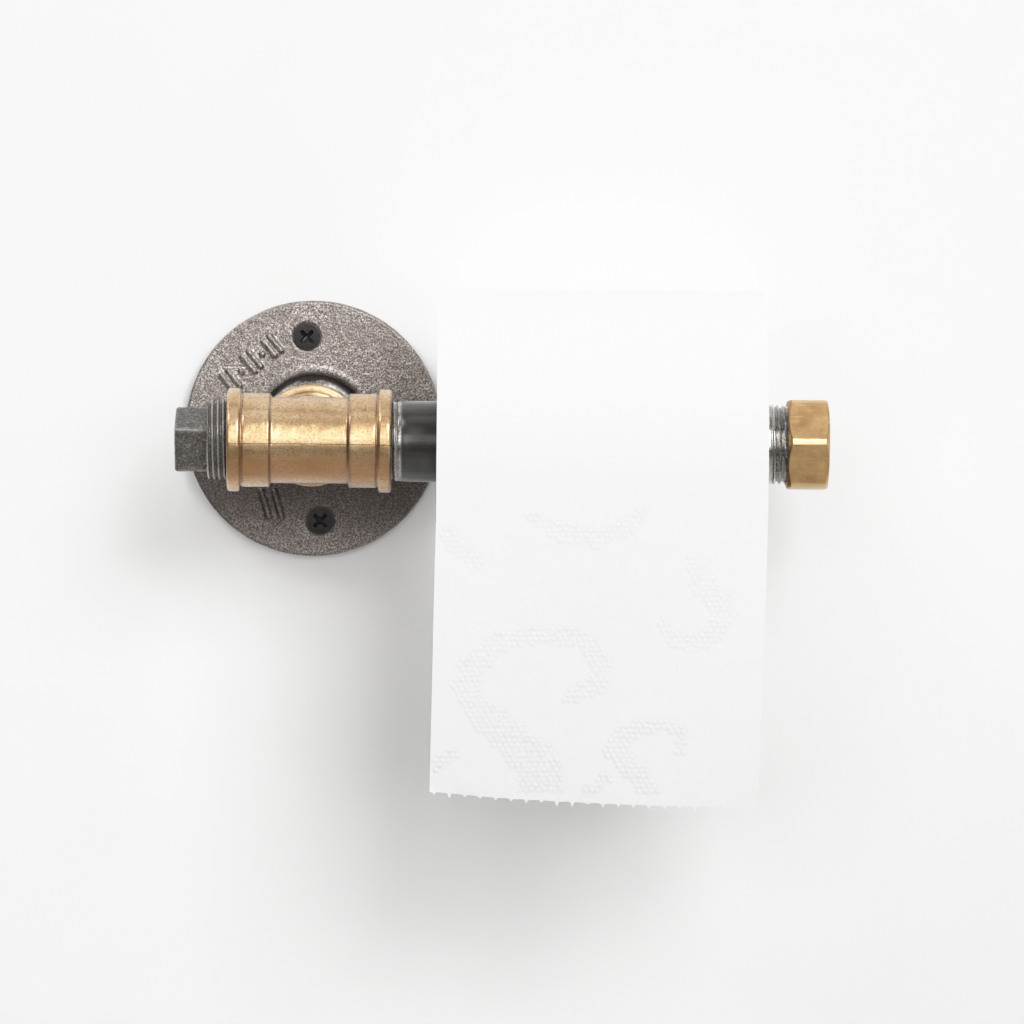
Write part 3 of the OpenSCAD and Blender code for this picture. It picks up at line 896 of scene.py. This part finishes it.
def make_pipe(look):
    low, high = pipe_low.x, pipe_high.x
    rings = outline([
        (low, PASSAGE_R, 0.4*MM), (low, THREAD_R - 0.9*MM), (low + 0.9*MM, THREAD_R),
        (low + THREAD_L, THREAD_R), (low + THREAD_L + 0.6*MM, PIPE_R),
        (high - THREAD_L - 0.6*MM, PIPE_R), (high - THREAD_L, THREAD_R),
        (high - 0.9*MM, THREAD_R), (high, THREAD_R - 0.9*MM), (high, PASSAGE_R, 0.4*MM)],
        0.2*MM, loop=True)
    outer = rings[:, 1] > PASSAGE_R + 1.0*MM
    in_thread = np.minimum(rings[:, 0] - low, high - rings[:, 0]) < THREAD_L + 0.4*MM
    keep = np.arange(len(rings)) % 12 == 0
    rings = rings[(outer & in_thread) | keep]

    def shape(along, radius, turn):
        inside = radius < PASSAGE_R + 0.8*MM
        from_end = np.minimum(along - low, high - along)
        share = 1 - smooth(from_end, THREAD_L - 2.4 * PITCH, THREAD_L - 0.2 * PITCH)
        cut, crest = cut_thread(along, radius, turn, share)
        near_cap = along > (low + high) / 2
        bright = np.where(near_cap, 0.55 + 0.45 * crest, 0.35 + 0.4 * crest)
        bare = (1 - smooth(from_end, THREAD_L - 0.6*MM, THREAD_L + 0.3*MM)) * bright
        return along, np.where(inside, radius, cut), np.where(inside, 0.1, bare)

    made = turned("arm_pipe", rings, on_pipe_axis, 128, shape, loop=True)
    return dress(made, look, "roll_pipe", "wall_bracket")


def make_cap(look):
    corner_r = CAP_FLAT_R / math.cos(math.pi / 6) - 0.6*MM
    face_r = CAP_FLAT_R - 0.4*MM
    low, high = cap_low.x, cap_high.x
    bottom = washer_high.x + 0.08*MM
    outer = np.concatenate([
        run((high, 0.6*MM), (high, face_r - 0.2*MM), 14),
        run((high - 0.03*MM, 1.0), (high - 2.1*MM, 1.0), 14),
        run((high - 2.5*MM, 1.0), (low + 2.5*MM, 1.0), 10),
        run((low + 2.1*MM, 1.0), (low + 0.03*MM, 1.0), 14)])
    inner = outline([
        (low, face_r - 0.2*MM), (low, BORE_R + 0.5*MM), (low + 0.7*MM, BORE_R),
        (bottom, BORE_R, 0.2*MM), (bottom, 1.0*MM)], 0.18*MM)
    rings = np.concatenate([outer, inner])
    number = np.arange(len(rings))[:, None]
    on_hexagon = (number >= 14) & (number < len(outer))
    in_bore = number >= len(outer)

    def shape(along, radius, turn):
        flat = polygon_radius(turn, CAP_FLAT_R, 6, CAP_CORNER_AT, corner_r, 0.12*MM)
        cone = face_r + np.minimum(high - along, along - low) * CAP_CONE
        hexagon = soft_min(flat, cone, 0.25*MM)
        crest = ridge(along, turn)
        threaded = THREAD_R - THREAD_DEEP * (1 - crest) + THREAD_ROOM
        wall = in_bore & (radius > BORE_R - 0.3*MM) & (along < bottom - 1.2*MM)
        least = radius - 0.05*MM - THREAD_DEEP * (along > low + 0.8*MM)
        bore = np.where(wall, np.maximum(threaded, least), radius)
        side = np.where(on_hexagon, hexagon, bore)
        points = on_pipe_axis(along, side * np.cos(turn), side * np.sin(turn))
        dents = 1 + on_hexagon * 0.0025 * grain(points, 3.0*MM, 31)
        sunk = np.where(number < 14, 0.12*MM * (1 - (radius / face_r) ** 2), 0)
        edge = smooth(flat, corner_r - 0.3*MM, corner_r - 0.05*MM)
        edge = on_hexagon * edge * (hexagon > flat - 0.15*MM)
        return along - sunk, side * dents, np.where(wall, 0.5, 0.5 * edge)

    made = turned("hexagon_cap", rings, on_pipe_axis, 192, shape, start=CAP_CORNER_AT, sharp=28)
    return dress(made, look, "end_cap", "end_cap")


def make_core(look):
    low, high = core_low.x, core_high.x
    inner_r = CORE_R - 0.9*MM
    rings = outline([
        (low, inner_r, 0.2*MM), (low, CORE_R, 0.2*MM), (high, CORE_R, 0.2*MM),
        (high, inner_r, 0.2*MM)], 1.1*MM, loop=True, arc=3)

    def shape(along, radius, turn):
        winding = np.abs((along / (70*MM) - turn / TAU) % 1 - 0.5)
        seam = smooth(winding, 0.488, 0.496)
        inside = radius < (inner_r + CORE_R) / 2
        moved = radius + np.where(inside, 0.12, -0.06)*MM * seam
        return along, moved, 0.7 * seam

    made = turned("core_tube", rings, on_roll_axis, 144, shape, loop=True)
    return dress(made, look, "cardboard_core", "paper_roll")


def make_roll(look):
    low, high = roll_low.x, roll_high.x
    hole_r = CORE_R + 0.06*MM
    skin_r = ROLL_R - 0.06*MM
    radii = np.arange(hole_r, skin_r - 0.5*MM, 0.34*MM)
    curve = np.linspace(0, math.pi / 2, 5)
    edge = 0.55*MM
    left = np.stack([np.full(len(radii), low), radii], -1)
    corner = np.stack([low + edge * (1 - np.cos(curve)), skin_r - edge * (1 - np.sin(curve))], -1)
    across = run((low + 1.5*MM, skin_r), (high - 1.5*MM, skin_r), 60)
    right = np.stack([low + high - left[::-1, 0], left[::-1, 1]], -1)
    right_corner = np.stack([low + high - corner[::-1, 0], corner[::-1, 1]], -1)
    rings = np.concatenate([left, corner, across, right_corner, right])
    layers = np.random.default_rng(5).random(512)

    def shape(along, radius, turn):
        winding = (radius - hole_r) / (0.62*MM) + turn / TAU
        layer = np.interp(winding % 510, np.arange(512), layers)
        side = np.where(along < (low + high) / 2, 1.0, -1.0)
        on_face = (radius < skin_r - 0.3*MM) & (np.minimum(along - low, high - along) < 0.3*MM)
        points = on_roll_axis(along, radius * np.cos(turn), radius * np.sin(turn))
        wave = 0.5 + 0.5 * grain(points, 17*MM, 41)
        sink = (0.30 * layer + 0.35 * wave)*MM
        soft = 0.10*MM * (0.5 + 0.5 * grain(points, 9*MM, 43)) * (radius > skin_r - MM)
        moved = along + side * np.where(on_face, sink, 0)
        return moved, radius - soft, np.where(on_face, 0.55 * (layer > 0.62) * (layer - 0.2), 0)

    made = turned("wound_paper", rings, on_roll_axis, 200, shape, loop=True)
    return dress(made, look, "paper_roll", "paper_roll")


def make_leaving_sheet(look):
    """The outermost turn over the top of the roll, and the strip down to the perforation."""
    columns = 121
    across = np.linspace(lead_low.x, lead_high.x, columns)
    turn = np.radians(np.concatenate([np.linspace(0, 60, 28)[:-1], np.linspace(60, 180, 84)]))
    front_gap = -lead_high.y + AXIS_Y - ROLL_R + SHEET_BACK
    inner = ROLL_R + 0.02*MM + (front_gap - 0.02*MM) * smooth(turn, math.pi / 2, math.pi)
    thick = 0.03*MM + (SHEET_T - 0.03*MM) * smooth(turn, 0, math.radians(50))
    strip = np.arange(1, 25) / 24 * (ROLL_Z - lead_low.z)

    def section(radius, front):
        curved = np.stack([AXIS_Y + radius * np.cos(turn), ROLL_Z + radius * np.sin(turn)], -1)
        straight = np.stack([np.full(len(strip), AXIS_Y - front), ROLL_Z - strip], -1)
        return np.concatenate([curved, straight])

    gap = front_gap + ROLL_R
    back, front = section(inner, gap), section(inner + thick, gap + SHEET_T)
    rows = len(back)

    def grid(line, relief):
        points = np.zeros((rows, columns, 3))
        points[..., 0] = across
        points[..., 1:] = line[:, None, :]
        outward = points[..., 1:] - np.array([AXIS_Y, ROLL_Z])
        outward[len(turn):] = (-1.0, 0.0)
        outward /= np.linalg.norm(outward, axis=-1, keepdims=True)
        points[..., 1:] += outward * relief[..., None]
        return points

    flat = grid(front, np.zeros((rows, columns)))
    fade = np.concatenate([smooth(turn, 0.2, 0.9), np.linspace(1, 0, len(strip)) ** 0.5])[:, None]
    relief = fade * 0.06*MM * (0.5 + 0.5 * grain(flat, 5*MM, 51))
    made = shell("leaving_sheet", grid(front, relief), grid(back, relief * 0.5))
    dress(made, look, "sheet_lead")
    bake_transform(made)
    return made


def swirl_dots(width):
    """Centres of the embossed dots, as (across, down): staggered rows inside the winding bands."""
    rng = np.random.default_rng(14)
    row, place = np.meshgrid(np.arange(1, 60), np.arange(0, 60), indexing="ij")
    dots = np.stack([place * DOT_GAP + (row % 2) * DOT_GAP / 2, row * DOT_GAP * 0.87], -1).reshape(-1, 2)
    dots = dots + rng.uniform(-0.22, 0.22, dots.shape)
    inside = np.zeros(len(dots), bool)
    for band in SWIRLS:
        band = np.array(band, float)
        for a, b in zip(band[:-1], band[1:]):
            ahead = (b - a)[:2]
            share = np.clip((dots - a[:2]) @ ahead / (ahead @ ahead), 0, 1)[:, None]
            far = np.linalg.norm(dots - a[:2] - share * ahead, axis=1)
            inside |= far < a[2] + share[:, 0] * (b[2] - a[2])
    inside &= (dots[:, 0] > 1.5) & (dots[:, 0] < width / MM - 1.5) & (dots[:, 1] < 96.5)
    return dots[inside]*MM


def make_hanging_sheet(look):
    """The last sheet: curled, a little askew, embossed with swirls, torn along its lower edge."""
    width = last_high.x - last_low.x
    length = SHEET_L
    columns = round(width / TOOTH * 14) + 1
    rows = 270
    u = np.linspace(0, width, columns)
    share = u / width
    torn = length - 4.65*MM * np.clip(1 - share / 0.72, 0, 1) ** 2.1
    rng = np.random.default_rng(12)
    off_tooth = np.abs((u / TOOTH + 0.2) % 1 - 0.5) * TOOTH
    sharpness = 0.45 + 0.7 * rng.random(40)[(u / TOOTH + 0.2).astype(int)]
    torn = torn + 1.9*MM * np.maximum(0, 1 - off_tooth / (0.65*MM)) * sharpness
    torn = torn + 0.12*MM * grain(np.stack([u, 0 * u, 0 * u], -1), 1.4*MM, 61)
    v = np.linspace(0, 1, rows)[:, None]
    down = v * length + (torn - length)[None, :] * smooth(v, 0.86, 1.0)
    across = np.broadcast_to(u, down.shape)
    relief, shade = np.zeros(down.shape), np.zeros(down.shape)
    near = 5
    for x, y in swirl_dots(width):
        j, i = int(round(x / width * (columns - 1))), int(round(y / length * (rows - 1)))
        part = (slice(max(i - near, 0), i + near + 1), slice(max(j - near, 0), j + near + 1))
        far = np.hypot(across[part] - x, down[part] - y)
        relief[part] = np.maximum(relief[part], 0.26*MM * np.exp(-(far / (0.55*MM)) ** 2))
        shade[part] = np.maximum(shade[part], 0.16 * np.exp(-((far - 0.95*MM) / (0.35*MM)) ** 2))
    flat = np.stack([across, down, 0 * down], -1)
    relief = relief + smooth(down, 0, 6*MM) * (
        0.10*MM * grain(flat, 5.5*MM, 62) + 0.03*MM * grain(flat, 1.6*MM, 63))
    hang = smooth(down, 4*MM, 70*MM)
    waves = 0.75*MM * hang * np.sin(TAU * (1.15 * across / width + 0.1) + 9 * down)
    corner = np.clip(1 - (across * 1.1 + length - down) / (9*MM), 0, 1)
    lifted = 2.0*MM * corner ** 2
    bend = down / CURL_R
    skew = -0.014 * down * smooth(down, 0, 20*MM)

    def surface(gap):
        stand = gap + relief + waves + lifted
        y = lead_high.y - stand * np.cos(bend) + CURL_R * (1 - np.cos(bend))
        z = lead_low.z - CURL_R * np.sin(bend) - stand * np.sin(bend)
        return np.stack([last_low.x + across + skew, y, z], -1)

    made = shell("hanging_sheet", surface(SHEET_BACK + SHEET_T), surface(SHEET_BACK), shade)
    dress(made, look, "last_sheet", "last_sheet")
    return made


# ---- stage, light and camera

def stand(name, points, faces, look):
    """An object that isn't part of the holder."""
    mesh = bpy.data.meshes.new(name)
    mesh.from_pydata(points, [], faces)
    mesh.materials.append(look)
    made = bpy.data.objects.new(name, mesh)
    bpy.context.scene.collection.objects.link(made)
    return made


def paint(name, cloud, low, high, roughness=0.8, glow=0.0):
    """A plain pale paint that is a little cloudy, and may glow in its own colour."""
    look = Look(name, Roughness=roughness)
    colour = look.ramp(look.noise(cloud), (0.3, low), (0.7, high))
    if glow:
        look.shader.inputs["Emission Strength"].default_value = glow
        look.tree.links.new(colour, look.shader.inputs["Emission Color"])
    look.done(colour)
    return look


def make_stage():
    """A white wall that can't be seen from behind, a pale floor and a backdrop all round.

    The floor and the backdrop that the camera sees glow softly and light nothing. An unseen floor
    just below throws the light back up.
    """
    look = paint("wall_paint", 30*MM, (247, 247, 247), (250, 250, 250), roughness=0.7)
    clear = look.node("ShaderNodeBsdfTransparent").outputs[0]
    behind = look.node("ShaderNodeNewGeometry").outputs["Backfacing"]
    shown = look.node("ShaderNodeMixShader", {0: behind, 1: look.shader.outputs[0], 2: clear})
    look.tree.links.new(shown.outputs[0], look.tree.nodes["Material Output"].inputs["Surface"])
    square = [(-STAGE_R, -STAGE_R), (STAGE_R, -STAGE_R), (STAGE_R, STAGE_R), (-STAGE_R, STAGE_R)]
    wall = stand("wall", [(x, WALL_Y, z) for x, z in square], [(0, 1, 2, 3)], look.material)
    wall.visible_shadow = False
    look = paint("floor_paint", 60*MM, (226, 225, 222), (231, 230, 228), glow=0.85)
    floor = stand("floor", [(2 * x, 2 * y, FLOOR_Z) for x, y in square], [(0, 1, 2, 3)], look.material)
    look = paint("backdrop_paint", 400*MM, (238, 238, 237), (240, 240, 239), glow=1.0)
    corners = [(2 * x, 2 * y, z) for z in (-STAGE_R, STAGE_R) for x, y in square]
    sides = [(0, 1, 2, 3), (4, 5, 6, 7), (0, 1, 5, 4), (1, 2, 6, 5), (2, 3, 7, 6), (3, 0, 4, 7)]
    backdrop = stand("backdrop", corners, sides, look.material)
    for made in (floor, backdrop):
        made.visible_diffuse = made.visible_glossy = False
        made.visible_transmission = made.visible_shadow = False
    look = paint("bounce_paint", 60*MM, (230, 229, 226), (234, 233, 231))
    bounce = [(x, y, FLOOR_Z - 0.01) for x, y in square]
    stand("floor_bounce", bounce, [(0, 1, 2, 3)], look.material).visible_camera = False


def make_light(name, azimuth, elevation, distance, wide, tall, power):
    """A soft area light that looks at LIT_POINT."""
    light = bpy.data.lights.new(name, "AREA")
    light.shape = "RECTANGLE"
    light.size, light.size_y, light.energy = wide, tall, power
    made = bpy.data.objects.new(name, light)
    made.matrix_world = (
        Matrix.Translation(LIT_POINT) @ Matrix.Rotation(math.radians(azimuth), 4, "Z")
        @ Matrix.Rotation(math.radians(90 - elevation), 4, "X") @ Matrix.Translation((0, 0, distance)))
    bpy.context.scene.collection.objects.link(made)


def make_lights():
    for light in LIGHTS:
        make_light(*light)
    world = bpy.data.worlds.new("studio")
    world.use_nodes = True
    background = world.node_tree.nodes["Background"].inputs
    background["Color"].default_value = (1, 1, 1, 1)
    background["Strength"].default_value = WORLD_STRENGTH
    bpy.context.scene.world = world


def set_tone():
    """The photograph's tones: bright middles, and whites that run softly into the top."""
    view = bpy.context.scene.view_settings
    view.view_transform = "Standard"
    view.look = "None"
    view.use_curve_mapping = True
    tone = view.curve_mapping
    tone.white_level = (TONE_WHITE,) * 3
    points = tone.curves[3].points
    for light, shown in TONE:
        points.new(light, shown)
    for point in points:
        point.handle_type = "VECTOR"
    tone.update()


def make_camera():
    """Stands about 2 m in front of the wall, a little above the pipe, and looks slightly down."""
    camera = bpy.data.cameras.new("camera")
    camera.sensor_width = 36
    camera.lens = CAMERA_LENS
    camera.clip_end = 20
    made = bpy.data.objects.new("camera", camera)
    yaw, pitch, roll = (math.radians(a) for a in CAMERA_TURN)
    aim = Matrix.Rotation(yaw, 4, "Z") @ Matrix.Rotation(pitch, 4, "X") @ Matrix.Rotation(roll, 4, "Z")
    made.matrix_world = Matrix.Translation(CAMERA_AT) @ aim
    bpy.context.scene.collection.objects.link(made)
    bpy.context.scene.camera = made


make_camera()
make_stage()
make_lights()
set_tone()
tissue = tissue_look()
make_flange(cast_iron_look())
make_screws(black_screw_look())
make_nipple(nipple_look())
make_tee(bronze_look())
make_plug(black_iron_look())
make_pipe(black_pipe_look())
washer_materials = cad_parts["cap_washer"].data.materials
washer_materials.clear()
washer_materials.append(rubber_look())
make_cap(brass_look())
make_core(board_look())
make_roll(tissue)
make_leaving_sheet(tissue)
make_hanging_sheet(tissue)
